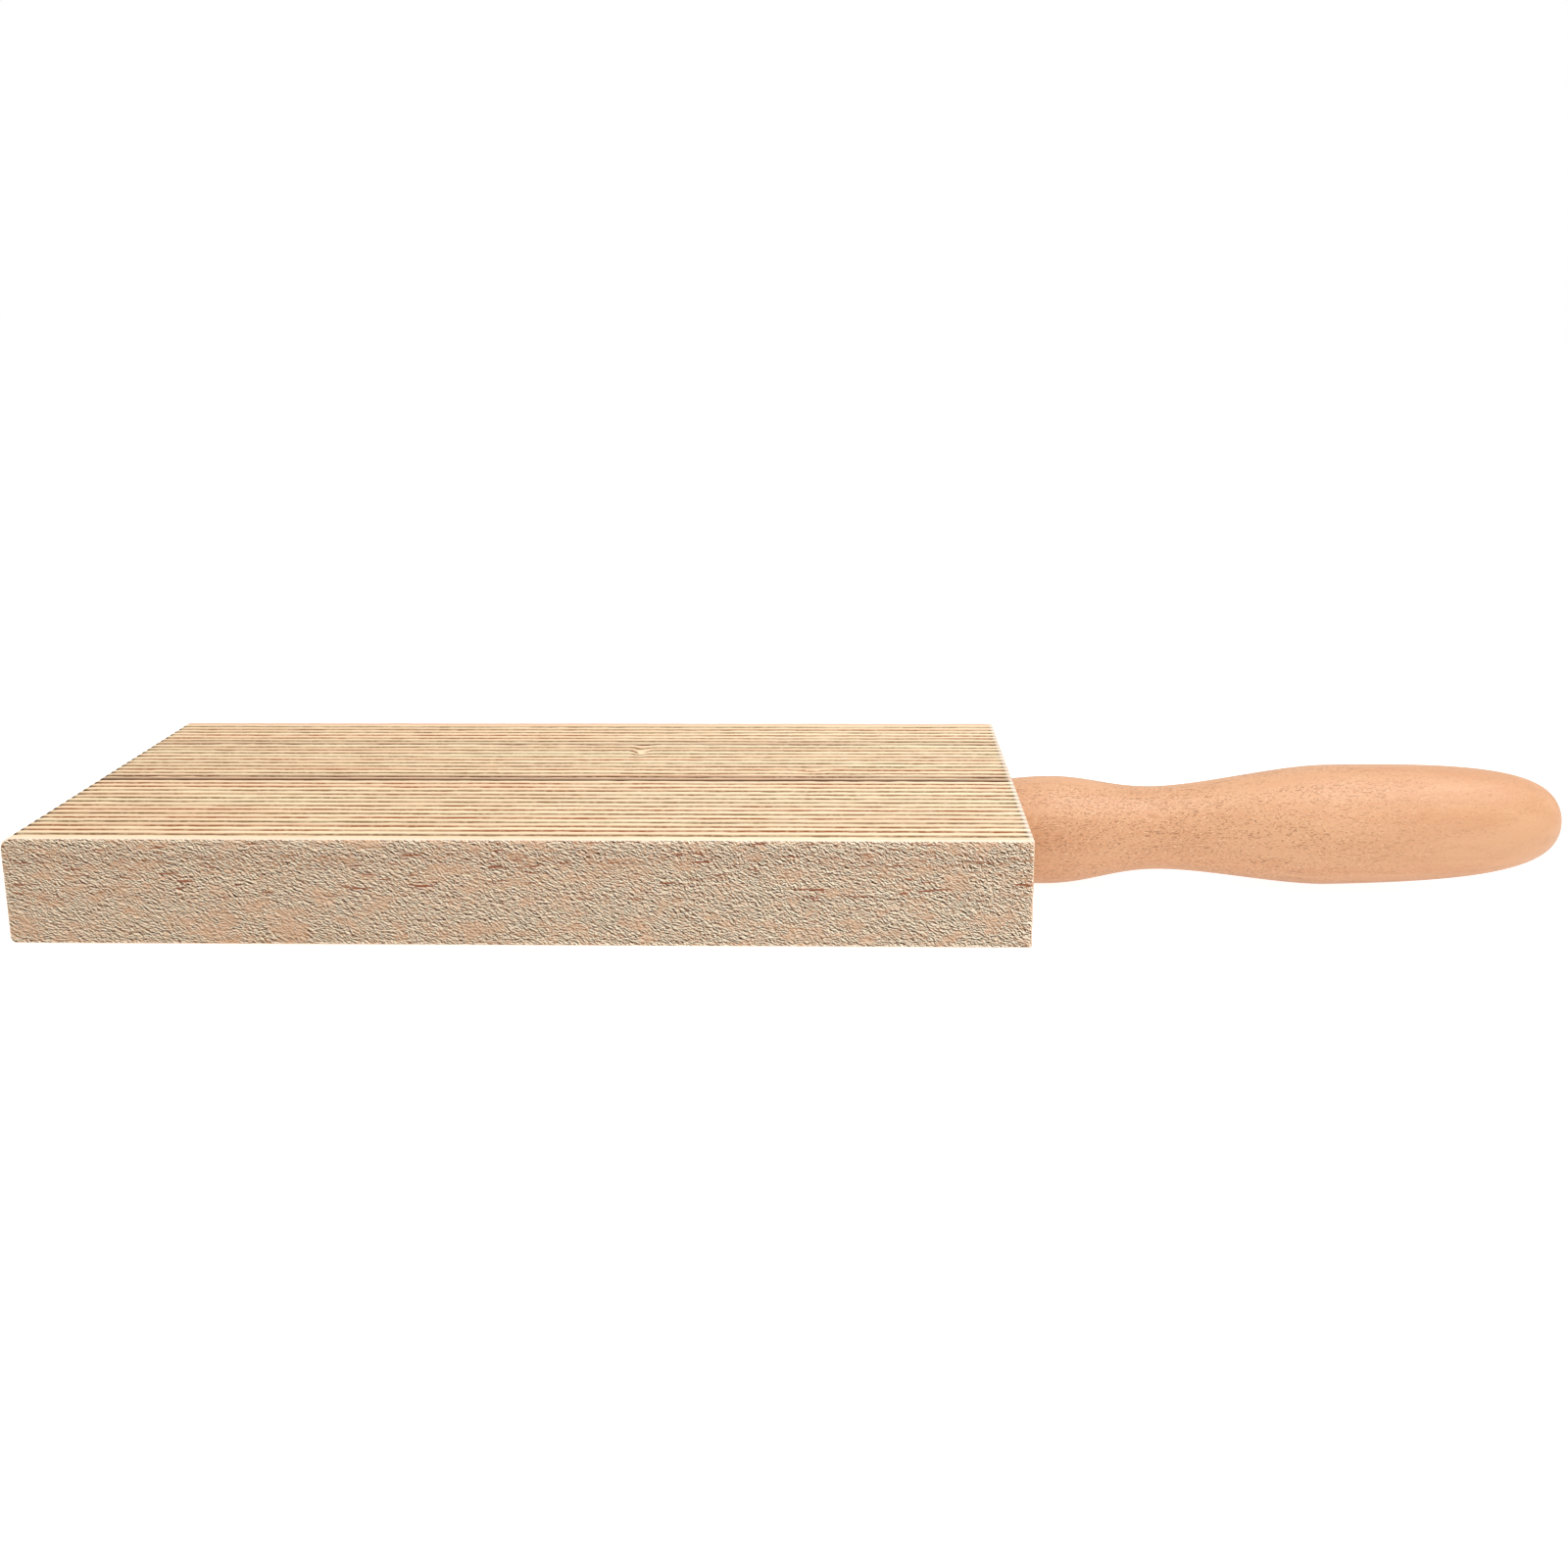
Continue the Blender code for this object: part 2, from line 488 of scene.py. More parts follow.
def thicken_to_block(sheet):
    """Turns the sheet into a closed block that reaches below the board."""
    select_parts(sheet, "edges", lambda edge, mesh: False)
    bpy.ops.mesh.select_non_manifold(extend=False, use_boundary=True)
    drop = BOARD_HIGH.z + 2 * OVERRUN
    bpy.ops.mesh.extrude_region_move(TRANSFORM_OT_translate={"value": (0, 0, -drop)})
    bpy.ops.transform.resize(value=(1, 1, 0))
    bpy.ops.mesh.edge_face_add()
    bpy.ops.mesh.select_all(action="SELECT")
    bpy.ops.mesh.normals_make_consistent(inside=False)
    stop_editing()


def round_tip_edge(blank, height, radius):
    """Rounds the tip's crosswise edge at this height, right out to the long sides."""

    def is_wanted(edge, mesh):
        middle = edge_middle(edge, mesh)
        at_tip = middle.x < BOARD_LOW.x + MERGE_DISTANCE
        return at_tip and abs(middle.z - height) < MERGE_DISTANCE

    select_parts(blank, "edges", is_wanted)
    bpy.ops.mesh.bevel(offset=radius, segments=ROUND_SEGMENTS, affect="EDGES")
    stop_editing()


def add_rounded_blank(settings):
    """The board's outer shape with its rounded edges, a hair taller than the crests."""
    low = BOARD_LOW
    high = BOARD_HIGH + Vector((0, 0, BLANK_CLEARANCE))
    deselect_everything()
    bpy.ops.mesh.primitive_cube_add(size=1, location=(low + high) / 2, scale=high - low)
    blank = named("rounded_blank")
    bake_place(blank)
    round_tip_edge(blank, low.z, settings.tip_bottom_round)
    round_tip_edge(blank, high.z, settings.tip_top_round)
    rounding = blank.modifiers.new("rounding", "BEVEL")
    rounding.limit_method = "ANGLE"
    rounding.angle_limit = SHARP_ANGLE
    rounding.width = settings.edge_round
    rounding.segments = ROUND_SEGMENTS
    apply_modifier(blank, rounding)
    return blank


def handle_matrix(settings):
    """Places a shape made along +Z, from the board's end, on the handle's axis."""
    place = Matrix.Translation((BOARD_HIGH.x, 0, settings.axis_height))
    return place @ Matrix.Rotation(math.pi / 2 - settings.rise, 4, "Y")


def add_bore(settings):
    depth = settings.tenon_length + BORE_GAP
    axis = handle_matrix(settings)
    deselect_everything()
    bpy.ops.mesh.primitive_cylinder_add(
        vertices=BORE_SEGMENTS,
        radius=settings.tenon_radius + BORE_GAP,
        depth=depth + OVERRUN,
        location=axis @ Vector((0, 0, (OVERRUN - depth) / 2)),
        rotation=axis.to_euler(),
    )
    bore = named("bore")
    bake_place(bore)
    return bore


def add_end_cracks():
    """Short drying cracks, as wedges that taper away from the handle's end."""
    deselect_everything()
    wedges = []
    for number in range(CRACK_COUNT):
        height = LOWEST_CRACK + number * CRACK_SPACING
        length = CRACK_LENGTHS[number % 2]
        width = CRACK_WIDTHS[number % 2]
        inner_end = BOARD_HIGH.x - length
        low = Vector((inner_end, BOARD_LOW.y - CRACK_OVERRUN, height - width / 2))
        high = Vector((BOARD_HIGH.x + CRACK_OVERRUN, BOARD_LOW.y + CRACK_DEPTH, height + width / 2))
        bpy.ops.mesh.primitive_cube_add(size=1, location=(low + high) / 2, scale=high - low)
        wedge = named("end_crack")
        bake_place(wedge)
        select_parts(wedge, "vertices", lambda vertex, mesh: vertex.co.x < inner_end + width)
        bpy.ops.transform.resize(value=(1, 1, CRACK_TAPER))
        stop_editing()
        wedges.append(wedge)
    for wedge in wedges:
        wedge.select_set(True)
    bpy.ops.object.join()
    return bpy.context.active_object


def make_board(settings, handle_settings):
    board = add_groove_strip(settings)
    repeat_grooves(board, settings)
    extend_sides(board, settings)
    roughen(board, settings)
    thicken_to_block(board)
    combine(board, add_rounded_blank(settings), "INTERSECT")
    combine(board, add_bore(handle_settings), "DIFFERENCE")
    combine(board, add_end_cracks(), "DIFFERENCE")
    store_groove_shade(board, settings)
    make_active(board)
    bpy.ops.object.shade_smooth_by_angle(angle=SMOOTH_ANGLE)
    return board


def store_groove_shade(board, settings):
    """Marks how deep in a groove each point lies, from 0 on a crest to 1 at the bottom."""
    pitch = groove_pitch(settings)
    first_groove = BOARD_LOW.y + settings.side_margin
    shade = board.data.attributes.new("groove_shade", "FLOAT", "POINT")
    for index, vertex in enumerate(board.data.vertices):
        number = round((vertex.co.y - first_groove) / pitch)
        number = min(max(number, 0), settings.groove_count - 1)
        offset = abs(vertex.co.y - first_groove - number * pitch)
        depth = (BOARD_HIGH.z - vertex.co.z) / settings.groove_depth
        in_groove = offset < GROOVE_REACH * pitch / 2 and depth < GROOVE_DEPTH_LIMIT
        shade.data[index].value = min(max(depth, 0), 1) if in_groove else 0


# The turned handle

HANDLE_SEGMENTS = 128
POINTS_PER_CURVE = 28
FULL_LENGTH = 77.1
COLLAR_SHARE = 5 / FULL_LENGTH
NECK_SHARE = 20.3 / FULL_LENGTH
BELLY_SHARE = 44.6 / FULL_LENGTH
SHOULDER_PULL = 0.4
COLLAR_PULL = 0.4
FLANK_PULL = 0.29
NOSE_PULL = 0.8
NOSE_BLUNTNESS = 0.73
TENON_CHAMFER = 0.8 * MM
SHOULDER_GAP = 0.05 * MM
SPIN_MERGE_DISTANCE = 0.001 * MM


def level_curve(start, end, pull):
    """A curve between two (radius, distance) points that runs parallel to the axis at both of them."""
    run = Vector((0, (end.y - start.y) * pull))
    return interpolate_bezier(start, start + run, end - run, end, POINTS_PER_CURVE)


def handle_outline(settings):
    """Points (radius, distance from the board's end), from the nose down to the tenon's inner end."""
    nose = Vector((0, settings.length))
    belly = Vector((settings.belly_radius, settings.length * BELLY_SHARE))
    neck = Vector((settings.neck_radius, settings.length * NECK_SHARE))
    collar = Vector((settings.collar_radius, settings.length * COLLAR_SHARE))
    shoulder = Vector((settings.shoulder_radius, SHOULDER_GAP))
    nose_handle = nose + Vector((belly.x * NOSE_BLUNTNESS, 0))
    belly_handle = belly + Vector((0, (nose.y - belly.y) * NOSE_PULL))
    collar_handle = collar + Vector((0, (shoulder.y - collar.y) * SHOULDER_PULL))
    outline = interpolate_bezier(nose, nose_handle, belly_handle, belly, POINTS_PER_CURVE)
    outline += level_curve(belly, neck, FLANK_PULL)[1:]
    outline += level_curve(neck, collar, COLLAR_PULL)[1:]
    outline += interpolate_bezier(collar, collar_handle, shoulder, shoulder, POINTS_PER_CURVE)[1:]
    outline += [
        Vector((settings.tenon_radius, SHOULDER_GAP)),
        Vector((settings.tenon_radius, TENON_CHAMFER - settings.tenon_length)),
        Vector((settings.tenon_radius - TENON_CHAMFER, -settings.tenon_length)),
        Vector((0, -settings.tenon_length)),
    ]
    return outline


def make_handle(settings):
    """Draws the outline point by point and spins it about the handle's axis."""
    axis = handle_matrix(settings)
    points = [axis @ Vector((radius, 0, distance)) for radius, distance in handle_outline(settings)]
    deselect_everything()
    bpy.ops.mesh.primitive_plane_add(size=1 * MM, location=(0, 0, 0))
    handle = named("handle")
    bpy.ops.object.mode_set(mode="EDIT")
    bpy.ops.mesh.select_mode(type="VERT")
    bpy.ops.mesh.select_all(action="SELECT")
    bpy.ops.mesh.merge(type="CENTER")
    bpy.ops.transform.translate(value=points[0])
    for start, end in zip(points, points[1:]):
        bpy.ops.mesh.extrude_region_move(TRANSFORM_OT_translate={"value": end - start})
    bpy.ops.mesh.select_all(action="SELECT")
    bpy.ops.mesh.spin(
        steps=HANDLE_SEGMENTS,
        angle=2 * math.pi,
        center=axis.translation,
        axis=axis.to_3x3() @ Vector((0, 0, 1)),
    )
    bpy.ops.mesh.select_all(action="SELECT")
    bpy.ops.mesh.remove_doubles(threshold=SPIN_MERGE_DISTANCE)
    bpy.ops.mesh.normals_make_consistent(inside=False)
    stop_editing()
    bpy.ops.object.shade_smooth_by_angle(angle=SMOOTH_ANGLE)
    return handle


# Node helpers


class Graph:
    """Short ways to add and link nodes in one node tree."""

    def __init__(self, tree):
        self.tree = tree

    def node(self, kind, inputs=None, **settings):
        made = self.tree.nodes.new(kind)
        for name, value in settings.items():
            setattr(made, name, value)
        for name, value in (inputs or {}).items():
            self.feed(made.inputs[name], value)
        return made

    def feed(self, socket, value):
        if isinstance(value, bpy.types.NodeSocket):
            self.tree.links.new(value, socket)
        else:
            socket.default_value = value

    def math(self, operation, first, second=0.0, clamp=False):
        return self.node(
            "ShaderNodeMath", {0: first, 1: second}, operation=operation, use_clamp=clamp
        ).outputs[0]

    def vector(self, operation, first, second):
        name = "Scale" if operation == "SCALE" else 1
        return self.node("ShaderNodeVectorMath", {0: first, name: second}, operation=operation).outputs[0]

    def separate(self, vector):
        return self.node("ShaderNodeSeparateXYZ", {0: vector}).outputs

    def combine(self, x, y, z):
        return self.node("ShaderNodeCombineXYZ", {0: x, 1: y, 2: z}).outputs[0]

    def noise(self, vector, detail=2.0, roughness=0.5, distortion=0.0):
        return self.node(
            "ShaderNodeTexNoise",
            {
                "Vector": vector,
                "Scale": 1.0,
                "Detail": detail,
                "Roughness": roughness,
                "Distortion": distortion,
            },
        ).outputs["Fac"]

    def remap(self, value, low, high, to_low=0.0, to_high=1.0):
        """Turns the range low to high into to_low to to_high, smoothly and without going past either."""
        return self.node(
            "ShaderNodeMapRange",
            {"Value": value, "From Min": low, "From Max": high, "To Min": to_low, "To Max": to_high},
            interpolation_type="SMOOTHSTEP",
        ).outputs["Result"]

    def mix(self, factor, first, second, blend="MIX"):
        mixed = self.node("ShaderNodeMix", data_type="RGBA", blend_type=blend)
        self.feed(mixed.inputs["Factor"], factor)
        for name, colour in (("A", first), ("B", second)):
            socket = [entry for entry in mixed.inputs if entry.name == name and entry.type == "RGBA"][0]
            self.feed(socket, colour)
        return [entry for entry in mixed.outputs if entry.type == "RGBA"][0]

    def group(self, tree, **inputs):
        placed = self.node("ShaderNodeGroup", node_tree=tree)
        for name, value in inputs.items():
            self.feed(placed.inputs[name.replace("_", " ")], value)
        return placed.outputs

    def bump(self, height, distance):
        return self.node("ShaderNodeBump", {"Height": height, "Distance": distance}).outputs["Normal"]


def colour(value):
    return (*value, 1)


def new_group(name, inputs, outputs):
    """An empty node group with its sockets, the values that feed it and the node that takes its results."""
    tree = bpy.data.node_groups.new(name, "ShaderNodeTree")
    for socket, kind, default in inputs:
        made = tree.interface.new_socket(socket, in_out="INPUT", socket_type=f"NodeSocket{kind}")
        if default is not None:
            made.default_value = default
    for socket in outputs:
        tree.interface.new_socket(socket, in_out="OUTPUT", socket_type="NodeSocketFloat")
    graph = Graph(tree)
    given = graph.node("NodeGroupInput").outputs
    results = graph.node("NodeGroupOutput").inputs
    return graph, given, results


# Shared effects of wood, in millimetres with the fibres along X


# How slowly growth rings bend along the fibres and across them.
RING_BEND = (1 / 45, 1 / 16, 1 / 16)

# How far above a point the torn fibres are compared with it, which gives their slope; the sawn sides paint
# highlight where it faces up and shade where it faces down.
SLOPE_STEP = 0.13
TORN_NOISE = {"detail": 1.2, "roughness": 0.5, "distortion": 1.0}

# A dash goes from nothing to full over this range.
DASH_EDGE = 0.07


def long_fibres_group():
    """Streaks drawn out along the fibres."""
    graph, given, results = new_group(
        "long fibres",
        [("Vector", "Vector", None), ("Length", "Float", 10.0), ("Width", "Float", 0.4)],
        ["Tone"],
    )
    across = graph.math("DIVIDE", 1.0, given["Width"])
    along = graph.math("DIVIDE", 1.0, given["Length"])
    stretched = graph.vector("MULTIPLY", given["Vector"], graph.combine(along, across, across))
    graph.feed(results["Tone"], graph.noise(stretched, detail=4, roughness=0.6))
    return graph.tree


def growth_rings_group():
    """Rings about a pith that runs along X: pale early wood that darkens outwards and then breaks off."""
    graph, given, results = new_group(
        "growth rings",
        [
            ("Vector", "Vector", None),
            ("Pith Y", "Float", 0.0),
            ("Pith Z", "Float", 0.0),
            ("Ring Width", "Float", 4.0),
            ("Waviness", "Float", 0.5),
        ],
        ["Latewood"],
    )
    bend = graph.vector("MULTIPLY", given["Vector"], RING_BEND)
    uneven = graph.math("SUBTRACT", graph.noise(bend, detail=2), 0.5)
    stray = graph.math("MULTIPLY", uneven, given["Waviness"])
    _, y, z = graph.separate(given["Vector"])
    from_pith_y = graph.math("SUBTRACT", y, given["Pith Y"])
    from_pith_z = graph.math("SUBTRACT", z, given["Pith Z"])
    squares = graph.math("ADD", graph.math("POWER", from_pith_y, 2), graph.math("POWER", from_pith_z, 2))
    radius = graph.math("ADD", graph.math("SQRT", squares), stray)
    turns = graph.math("DIVIDE", radius, given["Ring Width"])
    number = graph.math("FLOOR", turns)
    tone = graph.node("ShaderNodeTexWhiteNoise", {"W": number}, noise_dimensions="1D").outputs["Value"]
    through = graph.math("FRACT", turns)
    rise = graph.remap(through, 0.45, 0.94)
    fall = graph.remap(through, 1.0, 0.96)
    strength = graph.remap(tone, 0, 1, 0.25, 1)
    graph.feed(results["Latewood"], graph.math("MULTIPLY", graph.math("MULTIPLY", rise, fall), strength))
    return graph.tree


def dashes_group():
    """Separate short marks along the fibres, such as open pores or flecks of resin."""
    graph, given, results = new_group(
        "dashes",
        [
            ("Vector", "Vector", None),
            ("Length", "Float", 0.6),
            ("Width", "Float", 0.12),
            ("Rarity", "Float", 0.65),
        ],
        ["Mask"],
    )
    across = graph.math("DIVIDE", 1.0, given["Width"])
    along = graph.math("DIVIDE", 1.0, given["Length"])
    stretched = graph.vector("MULTIPLY", given["Vector"], graph.combine(along, across, across))
    grain = graph.noise(stretched, detail=0, distortion=0.2)
    full = graph.math("ADD", given["Rarity"], DASH_EDGE)
    graph.feed(results["Mask"], graph.remap(grain, given["Rarity"], full))
    return graph.tree


def torn_fibres_group():
    """The worm-like torn fibres that a coarse saw leaves on a side cut along the fibres, with their height
    and its drop going upwards, which the sawn sides use to paint highlight and shade.
    """
    graph, given, results = new_group(
        "torn fibres",
        [
            ("Vector", "Vector", None),
            ("Slant", "Float", -0.75),
            ("Length", "Float", 0.34),
            ("Width", "Float", 0.15),
        ],
        ["Height", "Slope"],
    )
    turned = graph.node(
        "ShaderNodeVectorRotate", {"Vector": given["Vector"], "Angle": given["Slant"]}, rotation_type="Y_AXIS"
    ).outputs["Vector"]
    across = graph.math("DIVIDE", 1.0, given["Width"])
    along = graph.math("DIVIDE", 1.0, given["Length"])
    stretch = graph.combine(along, across, across)
    here = graph.vector("MULTIPLY", turned, stretch)
    above = graph.vector("ADD", here, graph.vector("MULTIPLY", (0.0, 0.0, SLOPE_STEP), stretch))
    height = graph.noise(here, **TORN_NOISE)
    height_above = graph.noise(above, **TORN_NOISE)
    graph.feed(results["Height"], height)
    graph.feed(results["Slope"], graph.math("SUBTRACT", height, height_above))
    return graph.tree


def worn_edges_group():
    """Where two faces of a box meet, found from its middle and its size."""
    graph, given, results = new_group(
        "worn edges",
        [
            ("Vector", "Vector", None),
            ("Middle", "Vector", None),
            ("Half Size", "Vector", None),
            ("Reach", "Float", 0.8),
        ],
        ["Mask"],
    )
    offset = graph.vector("SUBTRACT", given["Vector"], given["Middle"])
    from_middle = graph.vector("ABSOLUTE", offset, (0, 0, 0))
    x, y, z = graph.separate(graph.vector("SUBTRACT", given["Half Size"], from_middle))
    low = graph.math("MINIMUM", x, y)
    high = graph.math("MAXIMUM", x, y)
    second = graph.math("MAXIMUM", low, graph.math("MINIMUM", high, z))
    ragged = graph.noise(graph.vector("SCALE", given["Vector"], 1.3), detail=3)
    reach = graph.math("MULTIPLY", given["Reach"], graph.math("ADD", ragged, 0.5))
    graph.feed(results["Mask"], graph.remap(graph.math("DIVIDE", second, reach), 1.0, 0.3))
    return graph.tree


GROUP_MAKERS = {
    "long fibres": long_fibres_group,
    "growth rings": growth_rings_group,
    "dashes": dashes_group,
    "torn fibres": torn_fibres_group,
    "worn edges": worn_edges_group,
}


def shared_groups():
    """The node groups by name, each built the first time that a material wants them."""
    return {name: bpy.data.node_groups.get(name) or make() for name, make in GROUP_MAKERS.items()}


# Materials


def new_material(name):
    material = bpy.data.materials.new(name)
    material.use_nodes = True
    graph = Graph(material.node_tree)
    shader = material.node_tree.nodes["Principled BSDF"]
    object_place = graph.node("ShaderNodeTexCoord").outputs["Object"]
    place = graph.vector("SCALE", object_place, float(PER_METRE))
    return material, graph, shader, place


# Colours that only one place in a material uses
FAR_MARGIN_COLOUR = (0.86, 0.50, 0.36)
DARK_LINE_COLOUR = (0.10, 0.03, 0.008)
GROOVE_END_COLOUR = (0.10, 0.05, 0.02)
WORN_COLOUR = (0.95, 0.78, 0.66)
# Painted shade towards the tip.
TIP_SHADE_COLOUR = (0.80, 0.72, 0.62)
WARM_STREAK_COLOUR = (0.60, 0.33, 0.17)
SIDE_RING_COLOUR = (0.52, 0.24, 0.11)
# Painted highlight and painted shade of the torn fibres on the sawn sides.
PAINTED_HIGHLIGHT_COLOUR = (1.0, 0.92, 0.73)
PAINTED_SHADE_COLOUR = (0.05, 0.014, 0.004)
RESIN_COLOUR = (0.30, 0.07, 0.02)
# Painted shade in the recesses of the sawn faces.
SIDE_RECESS_SHADE_COLOUR = (0.16, 0.05, 0.02)
END_RING_COLOUR = (0.36, 0.17, 0.07)
END_PORE_COLOUR = (0.25, 0.12, 0.05)
HANDLE_RING_COLOUR = (0.66, 0.30, 0.14)
HANDLE_FIBRE_COLOUR = (0.60, 0.29, 0.14)
# Painted glints on the handle.
HANDLE_GLINT_COLOUR = (1.0, 0.80, 0.55)

# Dark growth rings that come out in the grooved face, in millimetres: y of the middle, half width, and
# darkness of crests and of grooves.
DARK_RINGS = ((-2, 2.4, 0.25, 1), (20, 2, 0.1, 0.6), (33, 1.4, 0.6, 0.5))

# Dark rings where they reach a sawn side, in millimetres: height, half width and strength.
SIDE_RINGS = ((11.5, 1.3, 0.6), (6.5, 0.5, 0.35))

# Flecks of resin lie in the upper part of the sawn sides, above this height in millimetres.
LOWEST_FLECK = 6

# Where the far margin's tint starts and is full, and how far from each end the grooves turn dark, in mm.
FAR_MARGIN = (31.9, 32.4)
DARK_FROM_TIP = (2.2, 0.6)
DARK_FROM_HANDLE = (1.4, 0.5)

# The handle's pores gather around this place, in millimetres, and thin out between these distances.
PORES_AT = 88.0
PORES_THIN_OUT = (40.0, 12.0)
# Moves a pattern aside, so that a second use of it doesn't repeat the first.
ELSEWHERE = (40.0, 13.0, 7.0)


def bands(graph, value, rings, column):
    """The strongest of several soft bands across the board, each with its own strength."""
    strongest = None
    for ring in rings:
        far = graph.math("ABSOLUTE", graph.math("SUBTRACT", value, ring[0]))
        band = graph.remap(far, ring[1], 0.4 * ring[1], 0, ring[column])
        strongest = graph.math("MAXIMUM", strongest, band) if strongest else band
    return strongest


def ridged_face_colour(graph, settings, groups, place, groove, rings, fine):
    """Cream crests with thin dark lines down in the grooves, each groove with its own tone; the lines are
    darker wood and also painted shade that deepens down the groove.
    """
    x, y, _ = graph.separate(place)
    tip = BOARD_LOW.x * PER_METRE
    handle_end = BOARD_HIGH.x * PER_METRE
    coarse = graph.group(groups["long fibres"], Vector=place, Length=34.0, Width=1.6)["Tone"]
    drift = graph.group(groups["long fibres"], Vector=place, Length=7.0, Width=0.8)["Tone"]
    latewood = colour(settings.latewood_colour)
    pinker = graph.remap(coarse, 0.38, 0.66)
    crest = graph.mix(pinker, colour(settings.crest_colour), colour(settings.crest_tint))
    crest = graph.mix(graph.math("MULTIPLY", rings["Latewood"], 0.22), crest, latewood)
    crest = graph.mix(graph.remap(fine, 0.52, 0.78, 0, 0.35), crest, latewood)
    crest = graph.mix(bands(graph, y, DARK_RINGS, 2), crest, latewood)
    in_far_margin = graph.remap(y, *FAR_MARGIN, 0, 0.6)
    crest = graph.mix(in_far_margin, crest, colour(FAR_MARGIN_COLOUR))

    number = graph.math("FLOOR", graph.math("DIVIDE", y, groove_pitch(settings) * PER_METRE))
    own_tone = graph.node("ShaderNodeTexWhiteNoise", {"W": number}, noise_dimensions="1D").outputs["Value"]
    greener = graph.remap(own_tone, 0.2, 0.8)
    line = graph.mix(greener, colour(settings.groove_colour), colour(settings.groove_tint))
    dark = bands(graph, y, DARK_RINGS, 3)
    darker = graph.math("MULTIPLY", dark, graph.remap(drift, 0.30, 0.52, 0.5, 1))
    line = graph.mix(darker, line, colour(DARK_LINE_COLOUR))
    speckle = graph.group(groups["long fibres"], Vector=place, Length=0.9, Width=0.6)["Tone"]
    speckled = graph.remap(speckle, 0.35, 0.55, 0.65, 1)
    broken = graph.math("MULTIPLY", graph.remap(drift, 0.30, 0.58, 0.5, 1), speckled)
    at_tip = graph.remap(x, tip + DARK_FROM_TIP[0], tip + DARK_FROM_TIP[1])
    at_handle = graph.remap(x, handle_end - DARK_FROM_HANDLE[0], handle_end - DARK_FROM_HANDLE[1])
    at_ends = graph.math("MAXIMUM", at_tip, at_handle)
    line = graph.mix(at_ends, line, colour(GROOVE_END_COLOUR))
    strength = graph.math("MAXIMUM", graph.math("MAXIMUM", broken, dark), at_ends)
    # Painted shade in the recesses: the dark line strengthens with the depth in the groove, on top of the
    # darker wood.
    mask = graph.math("MULTIPLY", graph.remap(groove, 0.10, 0.30), strength, clamp=True)
    widened = graph.math("MULTIPLY", graph.remap(groove, 0.02, 0.10, 0, 0.55), dark)
    mask = graph.math("MAXIMUM", mask, widened)
    return graph.mix(mask, crest, line)


def sawn_side_colour(graph, settings, groups, place, groove, rings, torn):
    """Torn fibres, with painted shade where they face down and painted highlight where they face up, dark
    growth rings, flecks of resin, and painted shade deep in a groove.
    """
    patches = graph.group(groups["long fibres"], Vector=place, Length=3.4, Width=1.5)["Tone"]
    drift = graph.group(groups["long fibres"], Vector=place, Length=26.0, Width=1.3)["Tone"]
    duller = graph.remap(patches, 0.38, 0.62)
    side = graph.mix(duller, colour(settings.sawn_colour), colour(settings.sawn_tint))
    warm = graph.math("MAXIMUM", rings["Latewood"], graph.remap(drift, 0.55, 0.72, 0, 0.7))
    side = graph.mix(graph.math("MULTIPLY", warm, 0.5), side, colour(WARM_STREAK_COLOUR))
    _, _, z = graph.separate(place)
    wavy = graph.math("ADD", z, graph.math("MULTIPLY", graph.math("SUBTRACT", drift, 0.5), 3.0))
    side = graph.mix(bands(graph, wavy, SIDE_RINGS, 2), side, colour(SIDE_RING_COLOUR))
    crisp = graph.remap(patches, 0.34, 0.50, 0.55, 1)
    # Painted shade where the torn fibres face down and painted highlight where they face up, as if lit from
    # above.
    painted_pit_shade = graph.math("MULTIPLY", graph.remap(torn["Slope"], -0.045, -0.065), crisp)
    painted_tuft_highlight = graph.math("MULTIPLY", graph.remap(torn["Slope"], 0.045, 0.065), crisp)
    side = graph.mix(painted_tuft_highlight, side, colour(PAINTED_HIGHLIGHT_COLOUR))
    side = graph.mix(painted_pit_shade, side, colour(PAINTED_SHADE_COLOUR))
    flecks = graph.group(groups["dashes"], Vector=place, Length=3.6, Width=0.30, Rarity=0.72)["Mask"]
    flecks = graph.math("MULTIPLY", flecks, graph.remap(z, LOWEST_FLECK - 1, LOWEST_FLECK + 1, 0, 0.9))
    side = graph.mix(flecks, side, colour(RESIN_COLOUR))
    # Painted shade: darker with the depth that groove_shade marks.
    return graph.mix(groove, side, colour(SIDE_RECESS_SHADE_COLOUR))


def end_grain_colour(graph, settings, groups, place, rings):
    """Wood cut across its fibres: darker, with plain growth rings and open pores."""
    dots = graph.group(groups["dashes"], Vector=place, Length=4.0, Width=0.16, Rarity=0.60)["Mask"]
    in_ring = graph.math("MULTIPLY", rings["Latewood"], 0.75)
    end = graph.mix(in_ring, colour(settings.end_colour), colour(END_RING_COLOUR))
    return graph.mix(graph.math("MULTIPLY", dots, 0.6), end, colour(END_PORE_COLOUR))


